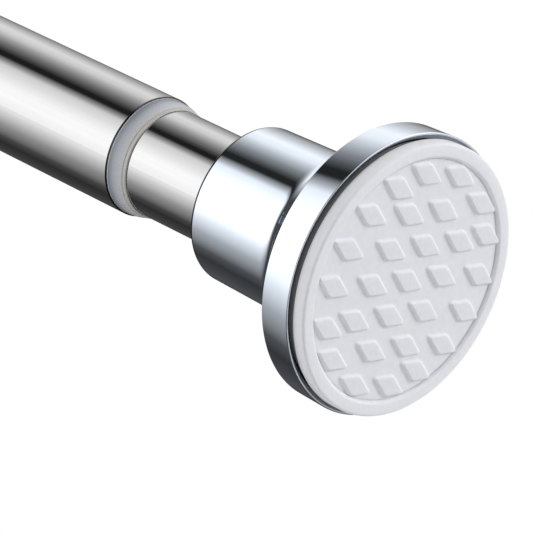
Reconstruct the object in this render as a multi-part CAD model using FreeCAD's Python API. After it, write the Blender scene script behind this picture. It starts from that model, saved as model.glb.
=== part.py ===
import FreeCAD
import Part

import math
import os

# Spring tension rod: two telescoping steel tubes between two swivelling end fittings.
# X runs along the rod from the fixed wall face to the moving one, Z is up.
# The origin is the centre of the fixed pad's wall face. Millimetres throughout.

# Travel
SPRING_TRAVEL = 18.0          # how far the rod can be squeezed against its spring
TWIST_OUT = 120.0             # how far the screw can lengthen the rod
TWIST_IN = 4.0                # how far it can still be screwed in

# Clearances
RUN_FIT = 0.06                # radial, between parts that turn or slide in each other
END_FLOAT = 0.20              # axial, between parts that turn on each other
MOULD_FIT = 0.04              # radial, between parts pressed or glued together
LOOSE_FIT = 0.3               # radial, between parts that pass each other freely
STOP_CLEAR = 0.5              # axial, left at the stop collar when the rod is screwed right out
INWARD_CLEAR = 2.0            # axial, left at the far collar when the rod is squeezed right in
SEAT_TO_NUT = 11.8            # axial, left between the screw's seat and its nut, screwed right in
FREE_TUBE_LEN = 67.1          # inner tube left empty between the screw's tip and the plug

# Tubes
OUTER_TUBE_R = 12.7
OUTER_TUBE_WALL = 0.8
INNER_TUBE_WALL = 0.7
MOUTH_ROUND = 0.35            # rolled edge at the outer tube's open end

# End fitting, along the rod
FITTING_DEPTH = 44.0          # collar's mouth to wall face
TUBE_SETBACK = 18.0           # tube end to wall face
CONE_LEN = 10.0
RIM_LEN = 6.9
RIM_GAP = 0.7                 # dark gap between the rim and the pad's flange
MOUTH_STEP_DEPTH = 0.7
MOUTH_RECESS_DEPTH = 3.0
WEB_THICK = 3.0

# End fitting, across the rod
COLLAR_WALL = 3.75
COLLAR_DRAFT = 0.56
MOUTH_LIP_ROUND = 1.0
MOUTH_LIP_FLAT = 0.19
MOUTH_RECESS_WIDTH = 0.9
FLARE_ROUND = 6.5
RIM_R = 28.45
RIM_DRAFT = 0.25
RIM_EDGE_ROUND = 0.25
RIM_LIP = 0.45                # front edge left outside the chamfer
PAD_SEAT_WIDTH = 2.4
SHELL_WALL = 2.0
HUB_WALL = 2.2
FITTING_RIBS = 8
RIB_THICK = 1.6

# Wall pad
PAD_INSET = 1.0               # pad's edge inside the rim's
PAD_FLANGE_THICK = 2.8
PAD_UNDERCUT = 1.15
PAD_SPIGOT_LEN = 2.4
PAD_EDGE_ROUND = 0.9
PAD_RIM_WIDTH = 2.55
PAD_RECESS_DEPTH = 0.65
PAD_RECESS_SLOPE = 0.7        # how much narrower the recess is at its floor
PAD_PLUG_LEN = 3.2
STUD_WIDTH = 4.5
STUD_HEIGHT = 5.0
STUD_DRAFT = 0.45
STUD_CORNER = 0.75
STUD_ROW_PITCH = 9.5
STUD_COLUMN_PITCH = 9.3
STUD_ROW_ANGLE = -14.2
STUD_COLUMN_ANGLE = -61.0
STUD_RING_INSET = 4.0         # from the raised rim in to the outer ring of studs
STUD_RING_GAP = 4.9           # from that ring in to the edge of the lattice
STUD_RING_OVAL = 1.2
STUD_RING_LEAN = 45.0
STUD_RING_ANGLES = [6.5, 26.0, 52.0, 77.5, 97.5, 119.5, 142.0, 163.5]

# Swivel screw and washer in each fitting
SHANK_R = 3.0
SHANK_SHOULDER = 0.9
THREAD_LEN = 14.0
HEAD_SHOULDER = 2.4
HEAD_THICK = 3.0
WASHER_MARGIN = 2.0
WASHER_THICK = 0.8
WELL_CLEAR = 0.8
DRIVE_SLOT = 1.2

# Tube plugs
PLUG_FLANGE = 1.4
PLUG_FLANGE_INSET = 0.2
PLUG_LEN = 22.0
PLUG_FLUTES = 6
FLUTE_WIDTH = 3.0
FLUTE_DEPTH = 1.8
FLUTE_LAND = 2.0
PILOT_SPARE = 2.0
SPIGOT_LEN = 12.0

# Guide bush in the outer tube's mouth
BUSH_WALL = 0.54
BUSH_LEN = 28.0
BUSH_NOSE_LEN = 3.7
BUSH_NOSE_FALL = 0.55         # how much smaller the nose is at its end than at its shoulder
BUSH_SHOULDER_STEP = 0.3
BUSH_CROWN = 0.12             # how far the nose bulges beyond a straight taper
BUSH_LIP_LEN = 0.88           # thin lip beyond the nose, round the inner tube
BUSH_LIP_WALL = 0.3
BUSH_LIP_ROUND = 0.15

# Compression spring
WIRE_R = 1.1
COIL_CLEAR = 1.9              # radial, between the coil and the outer tube
COIL_TURNS = 10
COIL_LEN = 100.0

# Screw carriage
SEAT_FLANGE_LEN = 14.0
SEAT_NOSE_LEN = 10.0
SEAT_NOSE_WALL = 3.5
DRIVE_SCREW_R = 4.0
SEAT_PIN_R = 1.5
SCREW_GRIP = 16.0
STOP_WALL = 2.6
STOP_LEN = 9.0
STOP_PIN_R = 1.25
SCREW_TIP = 1.0

# Thread nut and glide ring at the inner tube's hidden end
NUT_LEN = 22.0
NUT_FLANGE = 2.0
NUT_SHOULDER = 1.86
GLIDE_LEN = 6.0
NUT_PIN_R = 1.25
NUT_PIN_LEN = 3.4
NUT_PIN_INSET = 0.1

# Collar sleeve that brings the inner tube up to the outer tube's size
SLEEVE_LEN = 20.0

X_AXIS = FreeCAD.Vector(1, 0, 0)

# Radii worked out from the sizes above
OUTER_BORE_R = OUTER_TUBE_R - OUTER_TUBE_WALL
INNER_TUBE_R = OUTER_BORE_R - MOULD_FIT - BUSH_WALL - RUN_FIT
INNER_BORE_R = INNER_TUBE_R - INNER_TUBE_WALL
BUSH_SHOULDER_R = OUTER_TUBE_R - BUSH_SHOULDER_STEP
COIL_R = OUTER_BORE_R - COIL_CLEAR - WIRE_R
SPOOL_R = COIL_R - WIRE_R - LOOSE_FIT
SEAT_NOSE_R = DRIVE_SCREW_R + SEAT_NOSE_WALL
STOP_R = DRIVE_SCREW_R + STOP_WALL
NUT_NECK_R = INNER_TUBE_R - NUT_SHOULDER
THREAD_R = SHANK_R - SHANK_SHOULDER
HEAD_R = SHANK_R + HEAD_SHOULDER
WASHER_R = HEAD_R + WASHER_MARGIN
SCREW_WELL_R = WASHER_R + WELL_CLEAR
COLLAR_BORE_R = OUTER_TUBE_R + LOOSE_FIT
COLLAR_R = COLLAR_BORE_R + COLLAR_WALL
MOUTH_R = COLLAR_R - COLLAR_DRAFT
MOUTH_STEP_R = MOUTH_R - MOUTH_LIP_ROUND - MOUTH_LIP_FLAT
MOUTH_RECESS_R = COLLAR_BORE_R + MOUTH_RECESS_WIDTH
RIM_BACK_R = RIM_R - RIM_DRAFT
PAD_R = RIM_R - PAD_INSET
PAD_SPIGOT_R = PAD_R - PAD_UNDERCUT
LIP_BORE_R = PAD_SPIGOT_R + LOOSE_FIT
RIM_HOLLOW_R = LIP_BORE_R - PAD_SEAT_WIDTH
PAD_RECESS_R = PAD_R - PAD_RIM_WIDTH
STUD_RING_R = PAD_RECESS_R - STUD_RING_INSET
STUD_INNER_R = STUD_RING_R - STUD_RING_GAP

# Lengths in the fitting, from the collar's mouth towards the wall
RIM_FRONT_LEN = FITTING_DEPTH - PAD_FLANGE_THICK - RIM_GAP
RIM_BACK_LEN = RIM_FRONT_LEN - RIM_LEN
COLLAR_LEN = RIM_BACK_LEN - CONE_LEN
PAD_SEAT_LEN = FITTING_DEPTH - PAD_FLANGE_THICK - PAD_SPIGOT_LEN
WEB_BACK_LEN = FITTING_DEPTH - TUBE_SETBACK + PLUG_FLANGE + END_FLOAT
WEB_FRONT_LEN = WEB_BACK_LEN + WEB_THICK

# Places along the rod, each seated on the one before
OUTER_START_X = TUBE_SETBACK
COIL_START_X = OUTER_START_X + PLUG_LEN + WIRE_R
COIL_END_X = COIL_START_X + COIL_LEN
SEAT_X = COIL_END_X + WIRE_R
SEAT_END_X = SEAT_X + SEAT_FLANGE_LEN + SEAT_NOSE_LEN
SCREW_START_X = SEAT_END_X - SCREW_GRIP
NUT_NECK_X = SEAT_END_X + SEAT_TO_NUT + TWIST_IN + NUT_FLANGE
INNER_START_X = NUT_NECK_X + GLIDE_LEN + 2 * END_FLOAT
STOP_X = INNER_START_X + NUT_LEN + TWIST_OUT + STOP_CLEAR
SCREW_END_X = STOP_X + STOP_LEN + SCREW_TIP
INNER_END_X = SCREW_END_X + FREE_TUBE_LEN + PLUG_LEN
ROD_LENGTH = INNER_END_X + TUBE_SETBACK
COLLAR_MOUTH_GAP = BUSH_NOSE_LEN + BUSH_LIP_LEN + SPRING_TRAVEL + TWIST_IN + INWARD_CLEAR
OUTER_END_X = ROD_LENGTH - FITTING_DEPTH - COLLAR_MOUTH_GAP


def point(x, r):
    return FreeCAD.Vector(x, 0, r)


def turned(outline):
    """Solid of revolution about the rod's axis from (x, r) corners."""
    corners = [point(x, r) for x, r in outline]
    wire = Part.makePolygon(corners + corners[:1])
    return Part.Face(wire).revolve(FreeCAD.Vector(0, 0, 0), X_AXIS, 360)


def rod(x_start, x_end, radius):
    return Part.makeCylinder(radius, x_end - x_start, FreeCAD.Vector(x_start, 0, 0), X_AXIS)


def ring(x_start, x_end, radius, bore):
    return rod(x_start, x_end, radius).cut(rod(x_start - 1, x_end + 1, bore))


def cross_pin(x, radius, length):
    """Pin across the rod, along Z and centred on its axis."""
    start = FreeCAD.Vector(x, 0, -length / 2)
    return Part.makeCylinder(radius, length, start, FreeCAD.Vector(0, 0, 1))


def around_axis(shape, count):
    """Copies of a shape, evenly spaced around the rod's axis."""
    copies = []
    for index in range(count):
        copy = shape.copy()
        copy.rotate(FreeCAD.Vector(0, 0, 0), X_AXIS, 360.0 * index / count)
        copies.append(copy)
    return copies


def edges_at(shape, x, radius):
    """Circular edges of a shape that lie at one place along the rod and one radius."""
    found = []
    for edge in shape.Edges:
        curve = edge.Curve
        if isinstance(curve, Part.Circle):
            same_place = abs(curve.Center.x - x) < 1e-4
            same_size = abs(curve.Radius - radius) < 1e-4
            if same_place and same_size:
                found.append(edge)
    return found


def mirrored_to_far_end(shape):
    """The moving fitting's pieces are the fixed fitting's, turned to face the other wall."""
    copy = shape.copy()
    copy.rotate(FreeCAD.Vector(ROD_LENGTH / 2, 0, 0), FreeCAD.Vector(0, 0, 1), 180)
    return copy


# The fitting is drawn at the fixed wall, so a depth t from the collar's mouth is here:
def depth(t):
    return FITTING_DEPTH - t


# End fitting: collar, flared shell, rim, hub, web and ribs in one moulding
def fitting_outside():
    cone = [(0, MOUTH_R), (COLLAR_LEN, COLLAR_R), (RIM_BACK_LEN, RIM_BACK_R)]
    rim = [(RIM_FRONT_LEN, RIM_R), (RIM_FRONT_LEN, 0), (0, 0)]
    body = turned([(depth(t), r) for t, r in cone + rim])
    body = body.makeFillet(FLARE_ROUND, edges_at(body, depth(COLLAR_LEN), COLLAR_R))
    body = body.makeFillet(MOUTH_LIP_ROUND, edges_at(body, depth(0), MOUTH_R))
    body = body.makeFillet(RIM_EDGE_ROUND, edges_at(body, depth(RIM_BACK_LEN), RIM_BACK_R))
    return body.makeFillet(RIM_EDGE_ROUND, edges_at(body, depth(RIM_FRONT_LEN), RIM_R))


def fitting_front_hollow():
    slope = (RIM_BACK_R - COLLAR_R) / (RIM_BACK_LEN - COLLAR_LEN)
    hub_r = SCREW_WELL_R + HUB_WALL
    inner_r = COLLAR_R + slope * (WEB_FRONT_LEN - COLLAR_LEN) - SHELL_WALL
    outline = [
        (WEB_FRONT_LEN, hub_r),
        (WEB_FRONT_LEN, inner_r),
        (RIM_BACK_LEN, RIM_HOLLOW_R),
        (PAD_SEAT_LEN + 1, RIM_HOLLOW_R),
        (PAD_SEAT_LEN + 1, hub_r),
    ]
    return turned([(depth(t), r) for t, r in outline])


def fitting_ribs():
    hub_r = SCREW_WELL_R + HUB_WALL
    rib_depth = PAD_SEAT_LEN - WEB_FRONT_LEN
    corner = FreeCAD.Vector(depth(PAD_SEAT_LEN), -RIB_THICK / 2, hub_r - 1)
    rib = Part.makeBox(rib_depth, RIB_THICK, RIM_BACK_R - SHELL_WALL - hub_r, corner)
    return around_axis(rib, FITTING_RIBS)


def rim_chamfer():
    """Opens the rim's front edge, so that a dark gap shows round the pad."""
    front_r = RIM_R - RIM_LIP
    outline = [
        (RIM_FRONT_LEN - (front_r - LIP_BORE_R), LIP_BORE_R - 1),
        (RIM_FRONT_LEN - (front_r - LIP_BORE_R), LIP_BORE_R),
        (RIM_FRONT_LEN, front_r),
        (RIM_FRONT_LEN + 1, front_r),
        (RIM_FRONT_LEN + 1, LIP_BORE_R - 1),
    ]
    return turned([(depth(t), r) for t, r in outline])


def end_fitting():
    outside = fitting_outside()
    hollow = fitting_front_hollow().cut(Part.makeCompound(fitting_ribs()))
    body = outside.cut(hollow)
    body = body.cut(rod(depth(WEB_BACK_LEN), depth(-1), COLLAR_BORE_R))
    body = body.cut(rod(depth(MOUTH_RECESS_DEPTH), depth(-1), MOUTH_RECESS_R))
    body = body.cut(rod(depth(MOUTH_STEP_DEPTH), depth(-1), MOUTH_STEP_R))
    body = body.cut(rim_chamfer())
    body = body.cut(rod(-1, depth(PAD_SEAT_LEN), LIP_BORE_R))
    body = body.cut(rod(depth(PAD_SEAT_LEN + 1), depth(WEB_FRONT_LEN), SCREW_WELL_R))
    return body.cut(rod(depth(WEB_FRONT_LEN + 1), depth(WEB_BACK_LEN - 1), SHANK_R + RUN_FIT))


# Wall pad: a soft disc with a raised rim and a field of diamond studs
def facing_direction(angle):
    """Unit vector in the pad's face, the angle counted from its right as seen from the wall."""
    return FreeCAD.Vector(0, -math.cos(math.radians(angle)), math.sin(math.radians(angle)))


def stud_centres():
    """A sheared lattice inside an oval ring of studs that follows the raised rim."""
    row = facing_direction(STUD_ROW_ANGLE) * STUD_ROW_PITCH
    column = facing_direction(STUD_COLUMN_ANGLE) * STUD_COLUMN_PITCH
    reach = math.ceil(2 * STUD_INNER_R / min(STUD_ROW_PITCH, STUD_COLUMN_PITCH))
    centres = []
    for i in range(-reach, reach + 1):
        for j in range(-reach, reach + 1):
            place = row * i + column * j
            if place.Length < STUD_INNER_R:
                centres.append(place)
    for half_turn in (0, 180):
        for angle in STUD_RING_ANGLES:
            lean = math.radians(2 * (angle - STUD_RING_LEAN))
            radius = STUD_RING_R + STUD_RING_OVAL * math.cos(lean)
            centres.append(facing_direction(angle + half_turn) * radius)
    return centres


def diamond(x, width, height, corner):
    """Closed diamond outline with rounded corners, in a plane across the rod."""
    u = facing_direction(STUD_ROW_ANGLE) * (width / 2)
    v = facing_direction(STUD_COLUMN_ANGLE) * (height / 2)
    centre = FreeCAD.Vector(x, 0, 0)
    corners = [centre + u + v, centre + u - v, centre - u - v, centre - u + v]
    edges = []
    for index in range(4):
        before = corners[index - 1]
        here = corners[index]
        after = corners[(index + 1) % 4]
        start = here + (before - here).normalize() * corner
        end = here + (after - here).normalize() * corner
        bulge = here * 0.25 + (start + end) * 0.375
        edges.append(Part.Arc(start, bulge, end).toShape())
        next_start = after + (here - after).normalize() * corner
        edges.append(Part.makeLine(end, next_start))
    return Part.Wire(edges)


def stud():
    """One drafted stud, its top level with the wall face."""
    top = diamond(0, STUD_WIDTH, STUD_HEIGHT, STUD_CORNER)
    wide = 2 * STUD_DRAFT
    base = diamond(PAD_RECESS_DEPTH * 1.3, STUD_WIDTH + wide, STUD_HEIGHT + wide, STUD_CORNER)
    return Part.makeLoft([top, base], True, True)


def wall_pad():
    back = depth(PAD_SEAT_LEN)
    pad = rod(0, PAD_FLANGE_THICK, PAD_R)
    pad = pad.makeFillet(PAD_EDGE_ROUND, edges_at(pad, 0, PAD_R))
    pad = pad.fuse(rod(PAD_FLANGE_THICK / 2, back, PAD_SPIGOT_R))
    pad = pad.fuse(rod(PAD_FLANGE_THICK / 2, back + PAD_PLUG_LEN, SCREW_WELL_R - RUN_FIT))
    floor_r = PAD_RECESS_R - PAD_RECESS_SLOPE
    recess = [(-1, 0), (-1, PAD_RECESS_R), (0, PAD_RECESS_R), (PAD_RECESS_DEPTH, floor_r), (PAD_RECESS_DEPTH, 0)]
    pad = pad.cut(turned(recess))
    pattern = stud()
    studs = []
    for place in stud_centres():
        copy = pattern.copy()
        copy.translate(place)
        studs.append(copy)
    return pad.fuse(studs).removeSplitter()


# Swivel screw: its shoulder is the spindle that the fitting turns on
def swivel_screw():
    head_back = depth(WEB_FRONT_LEN) - END_FLOAT - WASHER_THICK
    shoulder_end = depth(WEB_BACK_LEN) + END_FLOAT
    screw = rod(head_back - HEAD_THICK, head_back, HEAD_R)
    screw = screw.makeFillet(HEAD_THICK * 0.4, edges_at(screw, head_back - HEAD_THICK, HEAD_R))
    screw = screw.fuse(rod(head_back, shoulder_end, SHANK_R))
    screw = screw.fuse(rod(shoulder_end, shoulder_end + THREAD_LEN, THREAD_R))
    slot_start = FreeCAD.Vector(head_back - HEAD_THICK - 1, -DRIVE_SLOT / 2, -HEAD_R * 0.55)
    slot = Part.makeBox(1 + HEAD_THICK * 0.5, DRIVE_SLOT, HEAD_R * 1.1, slot_start)
    for cutter in around_axis(slot, 4)[:2]:
        screw = screw.cut(cutter)
    return screw.removeSplitter()


def swivel_washer():
    start = depth(WEB_FRONT_LEN) - END_FLOAT - WASHER_THICK
    return ring(start, start + WASHER_THICK, WASHER_R, SHANK_R + MOULD_FIT)


# Tube plug: flanged, fluted plug pressed into a tube's end
def tube_plug(bore_r, flange_r, spigot_r):
    body_r = bore_r - MOULD_FIT
    start = OUTER_START_X
    plug = rod(start - PLUG_FLANGE, start, flange_r).fuse(rod(start, start + PLUG_LEN, body_r))
    flute_start = FreeCAD.Vector(start + FLUTE_LAND, -FLUTE_WIDTH / 2, body_r - FLUTE_DEPTH)
    flute = Part.makeBox(PLUG_LEN, FLUTE_WIDTH, FLUTE_DEPTH + 1, flute_start)
    plug = plug.cut(around_axis(flute, PLUG_FLUTES))
    if spigot_r > 0:
        plug = plug.fuse(rod(start + PLUG_LEN - 2, start + PLUG_LEN + SPIGOT_LEN, spigot_r))
    pilot_end = depth(WEB_BACK_LEN) + END_FLOAT + THREAD_LEN + PILOT_SPARE
    return plug.cut(rod(0, pilot_end, THREAD_R + MOULD_FIT)).removeSplitter()


def outer_plug():
    return tube_plug(OUTER_BORE_R, OUTER_TUBE_R - PLUG_FLANGE_INSET, SPOOL_R)


def inner_plug():
    return mirrored_to_far_end(tube_plug(INNER_BORE_R, INNER_TUBE_R, 0))


# Outer tube and the parts it carries
def outer_tube():
    tube = ring(OUTER_START_X, OUTER_END_X, OUTER_TUBE_R, OUTER_BORE_R)
    return tube.makeFillet(MOUTH_ROUND, edges_at(tube, OUTER_END_X, OUTER_TUBE_R))


def guide_bush():
    """Crowned nose outside the tube, a sleeve inside it, and a thin lip round the inner tube."""
    bore = INNER_TUBE_R + RUN_FIT
    nose_x = OUTER_END_X
    step_x = nose_x + BUSH_NOSE_LEN
    step_r = BUSH_SHOULDER_R - BUSH_NOSE_FALL
    lip_x = step_x + BUSH_LIP_LEN
    lip_r = bore + BUSH_LIP_WALL
    sleeve_x = nose_x - BUSH_LEN
    sleeve_r = OUTER_BORE_R - MOULD_FIT
    shoulder = point(nose_x, BUSH_SHOULDER_R)
    crown = point((nose_x + step_x) / 2, (BUSH_SHOULDER_R + step_r) / 2 + BUSH_CROWN)
    step = point(step_x, step_r)
    edges = [
        Part.makeLine(point(sleeve_x, bore), point(sleeve_x, sleeve_r)),
        Part.makeLine(point(sleeve_x, sleeve_r), point(nose_x, sleeve_r)),
        Part.makeLine(point(nose_x, sleeve_r), shoulder),
        Part.Arc(shoulder, crown, step).toShape(),
        Part.makeLine(step, point(step_x, lip_r)),
        Part.makeLine(point(step_x, lip_r), point(lip_x, lip_r)),
        Part.makeLine(point(lip_x, lip_r), point(lip_x, bore)),
        Part.makeLine(point(lip_x, bore), point(sleeve_x, bore)),
    ]
    bush = Part.Face(Part.Wire(edges)).revolve(FreeCAD.Vector(0, 0, 0), X_AXIS, 360)
    return bush.makeFillet(BUSH_LIP_ROUND, edges_at(bush, lip_x, lip_r))


def tension_spring():
    """Compression spring with ground ends, seated between the outer plug and the screw seat."""
    pitch = COIL_LEN / COIL_TURNS
    helix = Part.makeHelix(pitch, COIL_LEN, COIL_R)
    section = Part.Wire(Part.makeCircle(WIRE_R, FreeCAD.Vector(COIL_R, 0, 0), FreeCAD.Vector(0, 1, 0)))
    coil = Part.Wire(helix).makePipeShell([section], True, True)
    coil.rotate(FreeCAD.Vector(0, 0, 0), FreeCAD.Vector(0, 1, 0), 90)
    coil.translate(FreeCAD.Vector(COIL_START_X, 0, 0))
    return coil


# Screw carriage: slides in the outer tube on the spring and carries the drive screw
def screw_seat():
    flange_end = SEAT_X + SEAT_FLANGE_LEN
    seat = rod(SEAT_X, flange_end, OUTER_BORE_R - RUN_FIT)
    seat = seat.fuse(rod(SEAT_X - SPIGOT_LEN, SEAT_X + 1, SPOOL_R))
    seat = seat.fuse(rod(flange_end - 1, SEAT_END_X, SEAT_NOSE_R))
    seat = seat.cut(rod(SCREW_START_X, SEAT_END_X + 1, DRIVE_SCREW_R + MOULD_FIT))
    return seat.cut(cross_pin(seat_pin_x(), SEAT_PIN_R + MOULD_FIT, 4 * SEAT_NOSE_R)).removeSplitter()


def seat_pin_x():
    return SEAT_END_X - SEAT_NOSE_LEN / 2


def seat_pin():
    return cross_pin(seat_pin_x(), SEAT_PIN_R, 2 * SEAT_NOSE_R)


def drive_screw():
    screw = rod(SCREW_START_X, SCREW_END_X, DRIVE_SCREW_R)
    screw = screw.makeChamfer(SCREW_TIP * 0.8, edges_at(screw, SCREW_END_X, DRIVE_SCREW_R))
    screw = screw.cut(cross_pin(seat_pin_x(), SEAT_PIN_R + MOULD_FIT, 4 * DRIVE_SCREW_R))
    return screw.cut(cross_pin(STOP_X + STOP_LEN / 2, STOP_PIN_R + MOULD_FIT, 4 * DRIVE_SCREW_R))


def stop_collar():
    collar = ring(STOP_X, STOP_X + STOP_LEN, STOP_R, DRIVE_SCREW_R + MOULD_FIT)
    return collar.cut(cross_pin(STOP_X + STOP_LEN / 2, STOP_PIN_R + MOULD_FIT, 4 * STOP_R))


def stop_pin():
    return cross_pin(STOP_X + STOP_LEN / 2, STOP_PIN_R, 2 * STOP_R)


# Glide ring: centres the inner tube's hidden end and does not turn with it
def glide_ring():
    end = INNER_START_X - END_FLOAT
    return ring(end - GLIDE_LEN, end, OUTER_BORE_R - RUN_FIT, NUT_NECK_R + RUN_FIT)


# Inner tube and the parts it carries
def inner_tube():
    tube = ring(INNER_START_X, INNER_END_X, INNER_TUBE_R, INNER_BORE_R)
    return tube.cut(around_axis(nut_pin_hole(), 2))


def nut_pin_x():
    return INNER_START_X + NUT_LEN / 2


def nut_pin_hole():
    base = FreeCAD.Vector(nut_pin_x(), 0, INNER_TUBE_R - NUT_PIN_LEN)
    return Part.makeCylinder(NUT_PIN_R + MOULD_FIT, NUT_PIN_LEN + 1, base, FreeCAD.Vector(0, 0, 1))


def nut_pins():
    """Two short dowels that lock the nut to the tube, level with its outside."""
    base = FreeCAD.Vector(nut_pin_x(), 0, INNER_TUBE_R - NUT_PIN_LEN)
    length = NUT_PIN_LEN - NUT_PIN_INSET
    dowel = Part.makeCylinder(NUT_PIN_R, length, base, FreeCAD.Vector(0, 0, 1))
    return Part.makeCompound(around_axis(dowel, 2))


def thread_nut():
    nut = rod(INNER_START_X, INNER_START_X + NUT_LEN, INNER_BORE_R - MOULD_FIT)
    nut = nut.fuse(rod(NUT_NECK_X - 1, INNER_START_X + 1, NUT_NECK_R))
    nut = nut.fuse(rod(NUT_NECK_X - NUT_FLANGE, NUT_NECK_X, INNER_TUBE_R))
    bore_start = NUT_NECK_X - NUT_FLANGE - 1
    nut = nut.cut(rod(bore_start, INNER_START_X + NUT_LEN + 1, DRIVE_SCREW_R + RUN_FIT))
    return nut.cut(around_axis(nut_pin_hole(), 2)).removeSplitter()


def tube_sleeve():
    """Sleeve on the inner tube, so that both ends take the same fitting."""
    sleeve = ring(OUTER_START_X, OUTER_START_X + SLEEVE_LEN, OUTER_TUBE_R, INNER_TUBE_R + MOULD_FIT)
    return mirrored_to_far_end(sleeve)


def parts():
    fitting = end_fitting()
    pad = wall_pad()
    screw = swivel_screw()
    washer = swivel_washer()
    return {
        "fixed_end_fitting": fitting,
        "fixed_end_pad": pad,
        "outer_swivel_screw": screw,
        "outer_swivel_washer": washer,
        "outer_plug": outer_plug(),
        "outer_tube": outer_tube(),
        "guide_bush": guide_bush(),
        "tension_spring": tension_spring(),
        "screw_seat": screw_seat(),
        "seat_pin": seat_pin(),
        "drive_screw": drive_screw(),
        "stop_collar": stop_collar(),
        "stop_pin": stop_pin(),
        "glide_ring": glide_ring(),
        "thread_nut": thread_nut(),
        "nut_pins": nut_pins(),
        "inner_tube": inner_tube(),
        "inner_plug": inner_plug(),
        "tube_sleeve": tube_sleeve(),
        "inner_swivel_screw": mirrored_to_far_end(screw),
        "inner_swivel_washer": mirrored_to_far_end(washer),
        "moving_end_fitting": mirrored_to_far_end(fitting),
        "moving_end_pad": mirrored_to_far_end(pad),
    }


os.makedirs("parts", exist_ok=True)
for name, shape in parts().items():
    print(name, len(shape.Solids), shape.isValid(), round(shape.Volume, 1))
    shape.exportStep("parts/" + name + ".step")
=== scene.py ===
import math

import bmesh
import bpy
from mathutils import Matrix, Vector


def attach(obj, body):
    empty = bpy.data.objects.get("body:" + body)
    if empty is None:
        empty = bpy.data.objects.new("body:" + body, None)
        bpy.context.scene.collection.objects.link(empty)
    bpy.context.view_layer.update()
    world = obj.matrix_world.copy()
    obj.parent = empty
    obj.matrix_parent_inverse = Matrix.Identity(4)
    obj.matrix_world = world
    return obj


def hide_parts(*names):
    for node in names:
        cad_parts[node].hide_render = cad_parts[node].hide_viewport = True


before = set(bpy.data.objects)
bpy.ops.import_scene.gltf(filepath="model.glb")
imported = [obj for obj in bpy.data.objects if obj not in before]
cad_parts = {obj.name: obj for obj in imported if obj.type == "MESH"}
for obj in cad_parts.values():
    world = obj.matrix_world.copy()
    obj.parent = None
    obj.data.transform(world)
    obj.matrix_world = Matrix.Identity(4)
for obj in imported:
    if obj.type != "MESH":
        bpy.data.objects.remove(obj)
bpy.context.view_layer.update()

MM = 0.001
ROD_LENGTH = 450.0

# Facets around a turned piece, and points along each rounding of its outline
AROUND = 192
ROUNDING_STEPS = 8

# Tubes, in millimetres along the rod from the fixed wall face
OUTER_TUBE_R = 12.7
OUTER_BORE_R = 11.9
OUTER_START = 18.0
OUTER_END = 377.42
MOUTH_CHAMFER_LEN = 0.25
MOUTH_CHAMFER_FALL = 0.3
# Above this radius the tube's mouth chamfer carries a painted dark reflection
MOUTH_DARK_R = OUTER_TUBE_R - 0.28
INNER_TUBE_R = 11.26
INNER_BORE_R = 10.56
INNER_START = 190.4
INNER_END = 432.0

# Guide bush, its nose and lip counted from the outer tube's mouth
BUSH_LEN = 28.0
BUSH_NOSE = 3.7
BUSH_LIP = 4.58
BUSH_BORE_R = INNER_TUBE_R + 0.03
BUSH_BODY_R = OUTER_BORE_R - 0.04
BUSH_LIP_R = BUSH_BORE_R + 0.33
BUSH_SHOULDER_R = 12.4
BUSH_MIDDLE_R = 12.24
BUSH_NOSE_R = 11.76

# End fitting, its lengths counted from the collar's mouth towards the wall
FITTING_DEPTH = 44.0
COLLAR_MOUTH_R = 16.19
COLLAR_R = 16.75
COLLAR_LEN = 23.6
FLARE_FILLET = 6.5
RIM_BACK = 33.6
RIM_BACK_R = 28.2
RIM_FRONT = 40.5
RIM_R = 28.435
RIM_FRONT_R = 28.0
# Inside this radius the rim's front chamfer is painted black as shade
BLACK_FRONT_R = 27.0
LIP_BORE_R = 26.6
PAD_SEAT = 38.8
HOLLOW_R = 24.2
HOLLOW_STEP = 33.1
HOLLOW_FLOOR_R = 21.6
WEB_BACK = 27.6
WEB_FRONT = 30.6
HUB_R = 10.4
SCREW_WELL_R = 8.2
SHANK_BORE_R = 3.06
COLLAR_BORE_R = 13.0
MOUTH_RECESS = 3.0
MOUTH_RECESS_R = 13.9
MOUTH_STEP = 0.7
MOUTH_STEP_R = 15.0
MOUTH_EDGE_ROUND = 1.0
MOUTH_EDGE_R = 15.7

# Wall pad, its lengths counted from the wall
PAD_R = 27.45
PAD_EDGE_ROUND = 0.6
PAD_FLANGE = 2.8
PAD_BASE_START = PAD_FLANGE - 0.05
PAD_SPIGOT_R = 26.3
PAD_RECESS_R = 24.9
PAD_RECESS = 0.65
PAD_FLOOR_R = 24.2
DISC_FLOOR = PAD_RECESS + 0.6
SKIRT_DEPTH = DISC_FLOOR + 0.5

# Studs: a sheared lattice of diamonds inside an oval ring of them
STUD_ROW_PITCH = 9.5
STUD_COLUMN_PITCH = 9.3
STUD_ROW_ANGLE = math.radians(-14.2)
STUD_COLUMN_ANGLE = math.radians(-61.0)
STUD_WIDTH = 4.5
STUD_HEIGHT = 5.0
STUD_CORNER = 0.35
STUD_SLOPE = 0.6
STUD_INNER_R = 16.0
STUD_RING_R = 20.9
STUD_RING_OVAL = 1.2
STUD_RING_LEAN = math.radians(45.0)
STUD_RING_ANGLES = (6.5, 26.0, 52.0, 77.5, 97.5, 119.5, 142.0, 163.5)
STUD_TOP_SHARE = 0.3
LATTICE_REACH = 4
FIELD_CELL = 0.2
FIELD_OVERLAP = 0.4

# Hole on the axis of a turned disc, and slack in telling its faces apart by place
AXIS_HOLE_R = 0.01
SLACK = 0.01

# The bush's colours by share of its length beyond the tube's mouth: a painted highlight at the
# mouth's edge, then painted shade on the nose that lightens towards the warm lip
BUSH_PAINTED_LIGHT_TONES = [
    (0.0, (0.78, 0.78, 0.77)), (0.03, (0.78, 0.78, 0.77)), (0.06, (0.22, 0.24, 0.28)),
    (0.25, (0.34, 0.36, 0.41)), (0.50, (0.54, 0.56, 0.61)), (0.76, (0.64, 0.65, 0.67)),
    (0.84, (0.58, 0.56, 0.53)), (1.0, (0.60, 0.57, 0.53)),
]

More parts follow.
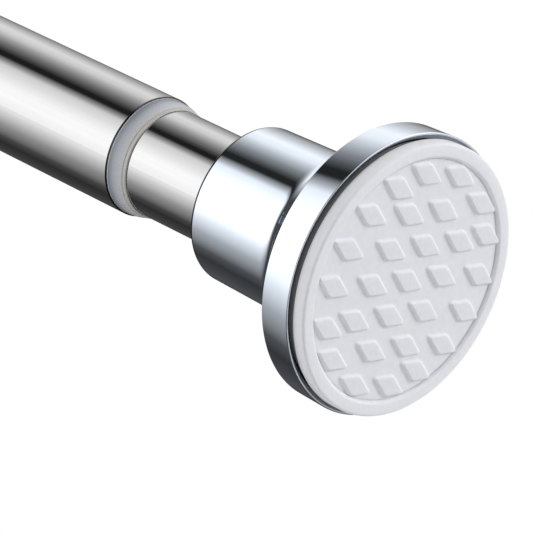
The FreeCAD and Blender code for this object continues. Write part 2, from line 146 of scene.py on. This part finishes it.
# Studio sky: its brightness by angle in degrees around the rod, as metal sees it
SKY_STRENGTH = 1.56
SKY_BANDS = [
    (-176, 0.77), (-165, 0.57), (-145, 0.27), (-132, 0.17), (-119, 0.056), (-103, 0.025),
    (-63, 0.05), (-40, 0.03), (-25, 0.07), (8, 0.40), (28, 0.68), (43, 0.60),
    (57, 0.35), (69, 0.17), (80, 0.06), (87, 0.012), (95, 0.012), (104, 0.32),
    (110, 0.62), (128, 0.80), (145, 0.97), (160, 0.99), (175, 0.91),
]

# Where the sky changes along the rod: start, full, and the level that it changes to
SIDE_ON_SKY = (-0.5, -0.15)
FAR_HALF_SKY = (0.15, 0.5)
MOVING_END_SKY = (0.75, 0.92, 0.35)
FIXED_END_SKY = (-0.91, -0.98, 0.04)
DARK_CORNER = (0.337, -0.744, 0.577)
DARK_CORNER_SKY = (0.86, 0.93, 0.05)

# What matt surfaces see: an even room and a softbox for each end
ROOM_LIGHT = 0.52
SOFTBOX_SIZE = 0.6
SOFTBOX_POWER = 10.5
SOFTBOX_COLOUR = (0.98, 0.98, 1.0)
FLOOR_SIZE = 6.0
FLOOR_HEIGHT = -0.6

# Camera at the photograph's viewing angle, its place in millimetres
FOCAL_PIXELS = 3877.0
PICTURE_PIXELS = 533.0
SENSOR_WIDTH = 36.0
CAMERA_PLACE = (903.357, -459.4, 342.8)
CAMERA_RIGHT = (0.68195, 0.73140, 0.0)
CAMERA_UP = (-0.34080, 0.31776, 0.88481)
CAMERA_BACK = (0.64715, -0.60339, 0.46596)


# Node materials
def new_material(name):
    """A material with its node tree and its Principled shader."""
    material = bpy.data.materials.new(name)
    material.use_nodes = True
    shader = material.node_tree.nodes["Principled BSDF"]
    return material, material.node_tree, shader


def add_noise(tree, scale, detail=3.0, stretch=(1, 1, 1)):
    """Noise in the object's own coordinates, its scale in cycles a metre."""
    coordinates = tree.nodes.new("ShaderNodeTexCoord")
    mapping = tree.nodes.new("ShaderNodeMapping")
    mapping.inputs["Scale"].default_value = stretch
    noise = tree.nodes.new("ShaderNodeTexNoise")
    noise.inputs["Scale"].default_value = scale
    noise.inputs["Detail"].default_value = detail
    tree.links.new(coordinates.outputs["Object"], mapping.inputs["Vector"])
    tree.links.new(mapping.outputs["Vector"], noise.inputs["Vector"])
    return noise


def noise_bump(tree, shader, noise, strength, distance):
    """Fine relief, its depth in metres."""
    bump = tree.nodes.new("ShaderNodeBump")
    bump.inputs["Strength"].default_value = strength
    bump.inputs["Distance"].default_value = distance
    tree.links.new(noise.outputs["Fac"], bump.inputs["Height"])
    tree.links.new(bump.outputs["Normal"], shader.inputs["Normal"])


def noise_range(tree, noise, low, high):
    """The noise as a value from low to high."""
    spread = tree.nodes.new("ShaderNodeMapRange")
    spread.inputs["To Min"].default_value = low
    spread.inputs["To Max"].default_value = high
    tree.links.new(noise.outputs["Fac"], spread.inputs["Value"])
    return spread.outputs["Result"]


def noise_colour(tree, shader, noise, dark, light):
    """Base colour that wanders between two close tones."""
    ramp = tree.nodes.new("ShaderNodeValToRGB")
    ramp.color_ramp.elements[0].position = 0.35
    ramp.color_ramp.elements[0].color = (*dark, 1)
    ramp.color_ramp.elements[1].position = 0.65
    ramp.color_ramp.elements[1].color = (*light, 1)
    tree.links.new(noise.outputs["Fac"], ramp.inputs["Fac"])
    tree.links.new(ramp.outputs["Color"], shader.inputs["Base Color"])


def metal(name, dark, light, roughness, stretch=(1, 1, 1), scale=300.0):
    """Metal with faint drawn or polished streaks in its colour and roughness."""
    material, tree, shader = new_material(name)
    noise = add_noise(tree, scale, detail=4.0, stretch=stretch)
    noise_colour(tree, shader, noise, dark, light)
    tree.links.new(noise_range(tree, noise, *roughness), shader.inputs["Roughness"])
    shader.inputs["Metallic"].default_value = 1.0
    return material


def plastic(name, dark, light, roughness, specular=0.5):
    """Moulded plastic with a very fine grain."""
    material, tree, shader = new_material(name)
    noise = add_noise(tree, scale=400.0)
    noise_colour(tree, shader, noise, dark, light)
    noise_bump(tree, shader, noise, strength=0.1, distance=0.00005)
    shader.inputs["Roughness"].default_value = roughness
    shader.inputs["Specular IOR Level"].default_value = specular
    return material


def rubber(name, dark, light):
    """Soft white rubber that scatters light just below its surface."""
    material, tree, shader = new_material(name)
    noise = add_noise(tree, scale=900.0, detail=6.0)
    noise_colour(tree, shader, noise, dark, light)
    noise_bump(tree, shader, noise, strength=0.25, distance=0.00006)
    shader.inputs["Roughness"].default_value = 0.62
    shader.inputs["Specular IOR Level"].default_value = 0.2
    shader.inputs["Subsurface Weight"].default_value = 0.5
    shader.inputs["Subsurface Radius"].default_value = (1.0, 0.9, 0.85)
    shader.inputs["Subsurface Scale"].default_value = 0.001
    return material


def bush_material():
    """Milky plastic with painted light along it: a painted highlight at the tube's mouth,
    painted shade on the nose, and a warm lip.
    """
    material, tree, shader = new_material("bush_milky_painted_light")
    noise = add_noise(tree, scale=500.0)
    coordinates = tree.nodes.new("ShaderNodeTexCoord")
    split = tree.nodes.new("ShaderNodeSeparateXYZ")
    # Colour by place along the rod: painted highlight and painted shade, with a faint random
    # mottle
    along = tree.nodes.new("ShaderNodeMapRange")
    along.inputs["From Min"].default_value = OUTER_END * MM
    along.inputs["From Max"].default_value = (OUTER_END + BUSH_LIP) * MM
    ramp = tree.nodes.new("ShaderNodeValToRGB")
    elements = ramp.color_ramp.elements
    for index, (position, colour) in enumerate(BUSH_PAINTED_LIGHT_TONES):
        element = elements[index] if index < 2 else elements.new(position)
        element.position = position
        element.color = (*colour, 1)
    mottle = tree.nodes.new("ShaderNodeMixRGB")
    mottle.blend_type = "MULTIPLY"
    mottle.inputs["Fac"].default_value = 0.08
    tree.links.new(coordinates.outputs["Object"], split.inputs["Vector"])
    tree.links.new(split.outputs["X"], along.inputs["Value"])
    tree.links.new(along.outputs["Result"], ramp.inputs["Fac"])
    tree.links.new(ramp.outputs["Color"], mottle.inputs["Color1"])
    tree.links.new(noise.outputs["Color"], mottle.inputs["Color2"])
    tree.links.new(mottle.outputs["Color"], shader.inputs["Base Color"])
    shader.inputs["Roughness"].default_value = 0.3
    return material


STEEL = metal(
    "tube_steel_polished", (0.61, 0.61, 0.61), (0.63, 0.63, 0.63),
    roughness=(0.05, 0.07), stretch=(0.02, 1, 1), scale=900.0,
)
CHROME = metal(
    "fitting_chrome_plate", (0.82, 0.89, 0.99), (0.84, 0.91, 1.0), roughness=(0.035, 0.045),
)
RUBBER = rubber("pad_rubber_soft", (0.85, 0.855, 0.89), (0.88, 0.885, 0.92))
STUD_RUBBER = rubber("pad_stud_tops", (0.82, 0.825, 0.86), (0.85, 0.855, 0.89))
BUSH = bush_material()
# Black painted as shade in the fitting's deep front groove and its bore
BLACK_PAINTED_SHADE = plastic(
    "fitting_painted_shade_black", (0.012, 0.012, 0.012), (0.02, 0.02, 0.02), roughness=0.6, specular=0.1,
)
# Near-black metal painted on the mouths' edges as a dark reflection line
PAINTED_DARK_REFLECTION = metal(
    "mouth_edge_painted_dark_reflection", (0.06, 0.065, 0.07), (0.07, 0.075, 0.08), roughness=(0.1, 0.12),
)
# Grey painted as shade on the pad's rubber spigot, where it lies in the gap under the rim
PAD_SPIGOT_SHADE = plastic(
    "pad_spigot_painted_shade", (0.40, 0.40, 0.41), (0.44, 0.44, 0.45), roughness=0.5,
)
NYLON = plastic("inner_nylon", (0.74, 0.74, 0.70), (0.80, 0.80, 0.76), roughness=0.5)
WIRE = metal(
    "spring_wire", (0.30, 0.31, 0.33), (0.42, 0.43, 0.45), roughness=(0.25, 0.4), scale=600.0,
)
ZINC = metal(
    "zinc_plate", (0.60, 0.61, 0.62), (0.70, 0.71, 0.74), roughness=(0.2, 0.35), scale=700.0,
)

# The CAD nodes inside the rod keep their shapes and get these materials
NODE_MATERIALS = {
    NYLON: ["outer_plug", "inner_plug", "tube_sleeve", "screw_seat", "thread_nut", "glide_ring"],
    WIRE: ["tension_spring"],
    ZINC: [
        "outer_swivel_screw", "inner_swivel_screw", "outer_swivel_washer", "inner_swivel_washer",
        "drive_screw", "stop_collar", "stop_pin", "seat_pin", "nut_pins",
    ],
}
for material, names in NODE_MATERIALS.items():
    for name in names:
        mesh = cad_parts[name].data
        mesh.materials.clear()
        mesh.materials.append(material)


# Turned pieces
def rounded_outline(corners):
    """Points of a closed outline, from its corners (x, r, rounding)."""
    points = []
    count = len(corners)
    for index, (x, r, rounding) in enumerate(corners):
        here = Vector((x, r))
        if rounding == 0:
            points.append(here)
            continue
        before = Vector(corners[index - 1][:2]) - here
        after = Vector(corners[(index + 1) % count][:2]) - here
        half_angle = before.angle(after) / 2
        reach = rounding / math.tan(half_angle)
        start = here + before.normalized() * reach
        inwards = (before.normalized() + after.normalized()).normalized()
        middle = here + inwards * (rounding / math.sin(half_angle))
        end = here + after.normalized() * reach
        for step in range(ROUNDING_STEPS + 1):
            arm = (start - middle).lerp(end - middle, step / ROUNDING_STEPS)
            points.append(middle + arm.normalized() * rounding)
    return points


def finish_mesh(name, bm, material, sharp_degrees=30):
    """An object from the mesh, smooth but for edges sharper than the angle."""
    mesh = bpy.data.meshes.new(name)
    bmesh.ops.recalc_face_normals(bm, faces=bm.faces[:])
    bm.to_mesh(mesh)
    bm.free()
    for polygon in mesh.polygons:
        polygon.use_smooth = True
    mesh.set_sharp_from_angle(angle=math.radians(sharp_degrees))
    mesh.materials.append(material)
    piece = bpy.data.objects.new(name, mesh)
    bpy.context.scene.collection.objects.link(piece)
    return piece


def add_turned(bm, outline):
    """Adds a closed ring of faces: the outline, in millimetres, turned about the X axis."""
    rings = []
    for index in range(AROUND):
        angle = 2 * math.pi * index / AROUND
        c, s = math.cos(angle), math.sin(angle)
        rings.append([bm.verts.new((x * MM, r * c * MM, r * s * MM)) for x, r in outline])
    count = len(outline)
    for index in range(AROUND):
        ring, following = rings[index], rings[(index + 1) % AROUND]
        for corner in range(count):
            after = (corner + 1) % count
            bm.faces.new((ring[corner], ring[after], following[after], following[corner]))


def turned_piece(name, corners, material):
    bm = bmesh.new()
    add_turned(bm, rounded_outline(corners))
    return finish_mesh(name, bm, material)


def paint(piece, material, where):
    """Gives the material to the faces whose centre (x, radius), in millimetres, fits."""
    piece.data.materials.append(material)
    index = len(piece.data.materials) - 1
    for polygon in piece.data.polygons:
        x, y, z = polygon.center / MM
        if where(x, math.hypot(y, z)):
            polygon.material_index = index


def turn_to_far_end(piece):
    """The moving end's pieces are the fixed end's, turned about Z to face the other wall."""
    half_turn = Matrix.Translation((ROD_LENGTH * MM, 0, 0)) @ Matrix.Rotation(math.pi, 4, "Z")
    piece.data.transform(half_turn)


# Tubes
outer_tube = turned_piece("outer_tube_skin", [
    (OUTER_START, OUTER_TUBE_R, 0),
    (OUTER_END - MOUTH_CHAMFER_LEN, OUTER_TUBE_R, 0.12),
    (OUTER_END, OUTER_TUBE_R - MOUTH_CHAMFER_FALL, 0.05),
    (OUTER_END, OUTER_BORE_R, 0.1),
    (OUTER_START, OUTER_BORE_R, 0),
], STEEL)
# The mouth's chamfer gets a painted dark reflection: a thin dark line along the tube's edge
paint(outer_tube, PAINTED_DARK_REFLECTION, lambda x, radius: (
    x > OUTER_END - MOUTH_CHAMFER_LEN and radius > MOUTH_DARK_R
))
inner_tube = turned_piece("inner_tube_skin", [
    (INNER_START, INNER_TUBE_R, 0),
    (INNER_END, INNER_TUBE_R, 0),
    (INNER_END, INNER_BORE_R, 0),
    (INNER_START, INNER_BORE_R, 0),
], STEEL)

# Guide bush with its domed nose and thin lip
bush = turned_piece("guide_bush_skin", [
    (OUTER_END - BUSH_LEN, BUSH_BORE_R, 0),
    (OUTER_END + BUSH_LIP, BUSH_BORE_R, 0.05),
    (OUTER_END + BUSH_LIP, BUSH_LIP_R, 0.25),
    (OUTER_END + BUSH_NOSE, BUSH_LIP_R, 0.05),
    (OUTER_END + BUSH_NOSE, BUSH_NOSE_R, 0.1),
    (OUTER_END + BUSH_NOSE / 2, BUSH_MIDDLE_R, 4.0),
    (OUTER_END, BUSH_SHOULDER_R, 0.1),
    (OUTER_END, BUSH_BODY_R, 0),
    (OUTER_END - BUSH_LEN, BUSH_BODY_R, 0),
], BUSH)


# End fitting
def depth(t):
    """Distance from the wall, of a place t from the collar's mouth."""
    return FITTING_DEPTH - t


def fitting(name):
    """Chromed moulding, painted black as shade in its front hollow and bore, with a painted dark
    reflection on its mouth's edge.
    """
    corners = [
        (depth(0), COLLAR_MOUTH_R, MOUTH_EDGE_ROUND),
        (depth(COLLAR_LEN), COLLAR_R, FLARE_FILLET),
        (depth(RIM_BACK), RIM_BACK_R, 0.25),
        (depth(RIM_FRONT), RIM_R, 0.2),
        (depth(RIM_FRONT), RIM_FRONT_R, 0),
        (depth(RIM_FRONT - RIM_FRONT_R + BLACK_FRONT_R), BLACK_FRONT_R, 0),
        (depth(RIM_FRONT - RIM_FRONT_R + LIP_BORE_R), LIP_BORE_R, 0),
        (depth(PAD_SEAT), LIP_BORE_R, 0),
        (depth(PAD_SEAT), HOLLOW_R, 0.3),
        (depth(HOLLOW_STEP), HOLLOW_R, 1.0),
        (depth(WEB_FRONT), HOLLOW_FLOOR_R, 0.5),
        (depth(WEB_FRONT), HUB_R, 0.5),
        (depth(PAD_SEAT), HUB_R, 0.2),
        (depth(PAD_SEAT), SCREW_WELL_R, 0.2),
        (depth(WEB_FRONT), SCREW_WELL_R, 0.3),
        (depth(WEB_FRONT), SHANK_BORE_R, 0),
        (depth(WEB_BACK), SHANK_BORE_R, 0),
        (depth(WEB_BACK), COLLAR_BORE_R, 0.3),
        (depth(MOUTH_RECESS), COLLAR_BORE_R, 0.2),
        (depth(MOUTH_RECESS), MOUTH_RECESS_R, 0.2),
        (depth(MOUTH_STEP), MOUTH_RECESS_R, 0.15),
        (depth(MOUTH_STEP), MOUTH_STEP_R, 0.1),
        (depth(0), MOUTH_STEP_R, 0.15),
    ]
    piece = turned_piece(name, corners, CHROME)
    # Painted shade: the front hollow, the inner part of the rim's chamfer and the collar's bore
    # are black
    paint(piece, BLACK_PAINTED_SHADE, lambda x, radius: (
        x < depth(WEB_FRONT) + SLACK and radius < BLACK_FRONT_R
        or x > depth(WEB_BACK) - SLACK and radius < COLLAR_BORE_R + SLACK
    ))
    # The collar mouth's rounded edge gets a painted dark reflection: a thin dark line
    paint(piece, PAINTED_DARK_REFLECTION, lambda x, radius: (
        x > depth(MOUTH_EDGE_ROUND) and radius > MOUTH_EDGE_R
    ))
    return piece


# Wall pad
def lattice_direction(angle):
    """Unit vector in the pad's face, the angle counted from its right as seen from the wall."""
    return Vector((-math.cos(angle), math.sin(angle)))


ROW = lattice_direction(STUD_ROW_ANGLE)
COLUMN = lattice_direction(STUD_COLUMN_ANGLE)


def stud_centres():
    """Centres of the lattice's studs, then of the ring's."""
    centres = []
    for i in range(-LATTICE_REACH, LATTICE_REACH + 1):
        for j in range(-LATTICE_REACH, LATTICE_REACH + 1):
            place = ROW * (i * STUD_ROW_PITCH) + COLUMN * (j * STUD_COLUMN_PITCH)
            if place.length < STUD_INNER_R:
                centres.append(place)
    for half_turn in (0, math.pi):
        for degrees in STUD_RING_ANGLES:
            angle = math.radians(degrees)
            radius = STUD_RING_R + STUD_RING_OVAL * math.cos(2 * (angle - STUD_RING_LEAN))
            centres.append(lattice_direction(angle + half_turn) * radius)
    return centres


def smooth_step(value):
    value = min(max(value, 0.0), 1.0)
    return value * value * (3 - 2 * value)


SKEW = abs(ROW.x * COLUMN.y - ROW.y * COLUMN.x)
ROW_NORMAL = Vector((-ROW.y, ROW.x))
COLUMN_NORMAL = Vector((-COLUMN.y, COLUMN.x))


def stud_height(place, centres):
    """1 on a stud's top, 0 on the floor, with rounded shoulders between."""
    best = 0.0
    half_height = STUD_HEIGHT * SKEW / 2
    half_width = STUD_WIDTH * SKEW / 2
    for centre in centres:
        offset = place - centre
        if offset.length > STUD_HEIGHT + STUD_SLOPE:
            continue
        across = abs(offset.dot(ROW_NORMAL)) - half_height
        along = abs(offset.dot(COLUMN_NORMAL)) - half_width
        corner_across = max(across + STUD_CORNER, 0.0)
        corner_along = max(along + STUD_CORNER, 0.0)
        beyond = math.hypot(corner_across, corner_along) - STUD_CORNER
        best = max(best, smooth_step(1 - beyond / STUD_SLOPE))
    return best


def wall_pad(name):
    """A turned disc, and above its floor a closed block with the studs as its face."""
    bm = bmesh.new()
    back = depth(PAD_SEAT)
    add_turned(bm, rounded_outline([
        (back, AXIS_HOLE_R, 0),
        (DISC_FLOOR, AXIS_HOLE_R, 0),
        (DISC_FLOOR, PAD_FLOOR_R, 0),
        (PAD_RECESS, PAD_FLOOR_R, 0),
        (0, PAD_RECESS_R, 0.35),
        (0, PAD_R, PAD_EDGE_ROUND),
        (PAD_FLANGE, PAD_R, 0.1),
        (PAD_FLANGE, PAD_SPIGOT_R, 0),
        (back, PAD_SPIGOT_R, 0),
    ]))
    centres = stud_centres()
    reach = int(PAD_FLOOR_R / (FIELD_CELL * SKEW)) + 2
    grid = {}
    for i in range(-reach, reach + 1):
        for j in range(-reach, reach + 1):
            place = (ROW * i + COLUMN * j) * FIELD_CELL
            if place.length < PAD_FLOOR_R + FIELD_OVERLAP:
                height = PAD_RECESS * (1 - stud_height(place, centres))
                grid[i, j] = bm.verts.new((height * MM, place.x * MM, place.y * MM))
    field = []
    for (i, j) in grid:
        corners = [grid.get(key) for key in ((i, j), (i + 1, j), (i + 1, j + 1), (i, j + 1))]
        if all(corners):
            field.append(bm.faces.new(corners))
    loose = [vert for vert in grid.values() if not vert.link_faces]
    bmesh.ops.delete(bm, geom=loose, context="VERTS")
    border = [edge for face in field for edge in face.edges if edge.is_boundary]
    skirt = bmesh.ops.extrude_edge_only(bm, edges=border)["geom"]
    lowered = [item for item in skirt if isinstance(item, bmesh.types.BMVert)]
    for vert in lowered:
        vert.co.x = SKIRT_DEPTH * MM
    rim_edges = [edge for edge in bm.edges if edge.is_boundary]
    bmesh.ops.contextual_create(bm, geom=rim_edges)
    piece = finish_mesh(name, bm, RUBBER, 60)
    paint(piece, STUD_RUBBER, lambda x, radius: (
        x < PAD_RECESS * STUD_TOP_SHARE and radius < PAD_FLOOR_R
    ))
    # The spigot behind the flange is painted grey as shade
    paint(piece, PAD_SPIGOT_SHADE, lambda x, radius: x > PAD_BASE_START)
    return piece


fixed_fitting = fitting("fixed_fitting_shell")
moving_fitting = fitting("moving_fitting_shell")
turn_to_far_end(moving_fitting)
fixed_pad = wall_pad("fixed_pad_moulding")
moving_pad = wall_pad("moving_pad_moulding")
turn_to_far_end(moving_pad)

RIDERS = [
    (outer_tube, "outer_body", "outer_tube", "tube_steel"),
    (bush, "outer_body", "guide_bush", "bush_plastic"),
    (inner_tube, "inner_body", "inner_tube", "tube_steel"),
    (fixed_fitting, "fixed_end", "fixed_end_fitting", "fitting_chrome"),
    (fixed_pad, "fixed_end", "fixed_end_pad", "pad_rubber"),
    (moving_fitting, "moving_end", "moving_end_fitting", "fitting_chrome"),
    (moving_pad, "moving_end", "moving_end_pad", "pad_rubber"),
]
for piece, body, node, slot in RIDERS:
    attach(piece, body)
    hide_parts(node)


# Studio
def sky_fade(tree, value, start, full, level=0.0):
    """A mixing node that goes over to its second colour as the value goes from start to full."""
    fade = tree.nodes.new("ShaderNodeMapRange")
    fade.inputs["From Min"].default_value = start
    fade.inputs["From Max"].default_value = full
    mix = tree.nodes.new("ShaderNodeMixRGB")
    mix.inputs["Color2"].default_value = (level, level, level, 1)
    tree.links.new(value, fade.inputs["Value"])
    tree.links.new(fade.outputs["Result"], mix.inputs["Fac"])
    return mix


def sky_bands(tree, height, side):
    """Brightness by angle around the rod, from its side and height directions."""
    turn = tree.nodes.new("ShaderNodeMath")
    turn.operation = "ARCTAN2"
    around = tree.nodes.new("ShaderNodeMapRange")
    around.inputs["From Min"].default_value = -math.pi
    around.inputs["From Max"].default_value = math.pi
    bands = tree.nodes.new("ShaderNodeValToRGB")
    elements = bands.color_ramp.elements
    while len(elements) > 1:
        elements.remove(elements[-1])
    for index, (degrees, level) in enumerate(SKY_BANDS):
        position = (degrees + 180) / 360
        element = elements[0] if index == 0 else elements.new(position)
        element.position = position
        element.color = (level, level, level, 1)
    tree.links.new(height, turn.inputs[0])
    tree.links.new(side, turn.inputs[1])
    tree.links.new(turn.outputs["Value"], around.inputs["Value"])
    tree.links.new(around.outputs["Result"], bands.inputs["Fac"])
    return bands.outputs["Color"]


def build_world():
    """The same studio from either end: the far half is the near half, mirrored in Y.

    Where the two halves meet, the darker of them keeps the tubes' outlines dark.
    Only glossy rays see this sky. The camera sees white, and matt surfaces a plain room.
    """
    world = bpy.data.worlds.new("studio_sky")
    bpy.context.scene.world = world
    world.use_nodes = True
    tree = world.node_tree
    tree.nodes.clear()
    link = tree.links.new
    coordinates = tree.nodes.new("ShaderNodeTexCoord")
    split = tree.nodes.new("ShaderNodeSeparateXYZ")
    other_side = tree.nodes.new("ShaderNodeMath")
    other_side.operation = "MULTIPLY"
    other_side.inputs[1].default_value = -1.0
    towards_corner = tree.nodes.new("ShaderNodeVectorMath")
    towards_corner.operation = "DOT_PRODUCT"
    towards_corner.inputs[1].default_value = DARK_CORNER
    link(coordinates.outputs["Generated"], towards_corner.inputs[0])
    side_on = tree.nodes.new("ShaderNodeMixRGB")
    side_on.blend_type = "DARKEN"
    side_on.inputs["Fac"].default_value = 1.0
    middle = sky_fade(tree, split.outputs["X"], *SIDE_ON_SKY)
    far_half = sky_fade(tree, split.outputs["X"], *FAR_HALF_SKY)
    moving_end = sky_fade(tree, split.outputs["X"], *MOVING_END_SKY)
    fixed_end = sky_fade(tree, split.outputs["X"], *FIXED_END_SKY)
    dark_corner = sky_fade(tree, towards_corner.outputs["Value"], *DARK_CORNER_SKY)
    sky = tree.nodes.new("ShaderNodeBackground")
    sky.inputs["Strength"].default_value = SKY_STRENGTH
    room = tree.nodes.new("ShaderNodeBackground")
    room.inputs["Color"].default_value = (1, 1, 1, 1)
    room.inputs["Strength"].default_value = ROOM_LIGHT
    white = tree.nodes.new("ShaderNodeBackground")
    white.inputs["Color"].default_value = (1, 1, 1, 1)
    white.inputs["Strength"].default_value = 1.0
    path = tree.nodes.new("ShaderNodeLightPath")
    in_metal = tree.nodes.new("ShaderNodeMixShader")
    choose = tree.nodes.new("ShaderNodeMixShader")
    output = tree.nodes.new("ShaderNodeOutputWorld")
    link(coordinates.outputs["Generated"], split.inputs["Vector"])
    link(split.outputs["Y"], other_side.inputs[0])
    near_bands = sky_bands(tree, split.outputs["Z"], split.outputs["Y"])
    far_bands = sky_bands(tree, split.outputs["Z"], other_side.outputs["Value"])
    link(near_bands, side_on.inputs["Color1"])
    link(far_bands, side_on.inputs["Color2"])
    link(near_bands, middle.inputs["Color1"])
    link(side_on.outputs["Color"], middle.inputs["Color2"])
    link(middle.outputs["Color"], far_half.inputs["Color1"])
    link(far_bands, far_half.inputs["Color2"])
    link(far_half.outputs["Color"], moving_end.inputs["Color1"])
    link(moving_end.outputs["Color"], fixed_end.inputs["Color1"])
    link(fixed_end.outputs["Color"], dark_corner.inputs["Color1"])
    link(dark_corner.outputs["Color"], sky.inputs["Color"])
    link(path.outputs["Is Glossy Ray"], in_metal.inputs["Fac"])
    link(room.outputs["Background"], in_metal.inputs[1])
    link(sky.outputs["Background"], in_metal.inputs[2])
    link(path.outputs["Is Camera Ray"], choose.inputs["Fac"])
    link(in_metal.outputs["Shader"], choose.inputs[1])
    link(white.outputs["Background"], choose.inputs[2])
    link(choose.outputs["Shader"], output.inputs["Surface"])


def build_floor():
    """Pale floor, well below the rod, that shows as plain white."""
    bm = bmesh.new()
    bmesh.ops.create_grid(bm, x_segments=1, y_segments=1, size=FLOOR_SIZE)
    mesh = bpy.data.meshes.new("floor")
    bm.to_mesh(mesh)
    bm.free()
    floor = bpy.data.objects.new("floor", mesh)
    floor.location = (0, 0, FLOOR_HEIGHT)
    bpy.context.scene.collection.objects.link(floor)
    material, tree, shader = new_material("floor_pale")
    shader.inputs["Base Color"].default_value = (0.8, 0.8, 0.8, 1)
    shader.inputs["Roughness"].default_value = 0.9
    glow = tree.nodes.new("ShaderNodeEmission")
    glow.inputs["Color"].default_value = (1, 1, 1, 1)
    path = tree.nodes.new("ShaderNodeLightPath")
    choose = tree.nodes.new("ShaderNodeMixShader")
    output = tree.nodes["Material Output"]
    tree.links.new(path.outputs["Is Camera Ray"], choose.inputs["Fac"])
    tree.links.new(shader.outputs["BSDF"], choose.inputs[1])
    tree.links.new(glow.outputs["Emission"], choose.inputs[2])
    tree.links.new(choose.outputs["Shader"], output.inputs["Surface"])
    mesh.materials.append(material)
    floor.visible_glossy = False


def add_softbox(name, place, target):
    """Square lamp that metal doesn't reflect, its place and target in metres."""
    light = bpy.data.lights.new(name, "AREA")
    light.shape = "SQUARE"
    light.size = SOFTBOX_SIZE
    light.energy = SOFTBOX_POWER
    light.color = SOFTBOX_COLOUR
    lamp = bpy.data.objects.new(name, light)
    lamp.location = place
    aim = Vector(target) - Vector(place)
    lamp.rotation_euler = aim.to_track_quat("-Z", "Y").to_euler()
    lamp.visible_glossy = False
    bpy.context.scene.collection.objects.link(lamp)


build_world()
build_floor()
add_softbox("moving_end_light", (1.25, 1.0, 0.55), (ROD_LENGTH * MM, 0, 0))
add_softbox("fixed_end_light", (-0.8, -1.0, 0.55), (0, 0, 0))

# Camera
camera_data = bpy.data.cameras.new("camera")
camera_data.sensor_width = SENSOR_WIDTH
camera_data.lens = FOCAL_PIXELS / PICTURE_PIXELS * SENSOR_WIDTH
camera_data.clip_start = 0.05
camera = bpy.data.objects.new("camera", camera_data)
bpy.context.scene.collection.objects.link(camera)
axes = Matrix((CAMERA_RIGHT, CAMERA_UP, CAMERA_BACK)).transposed().to_4x4()
camera.matrix_world = Matrix.Translation(Vector(CAMERA_PLACE) * MM) @ axes
bpy.context.scene.camera = camera

bpy.context.scene.view_settings.view_transform = "Standard"
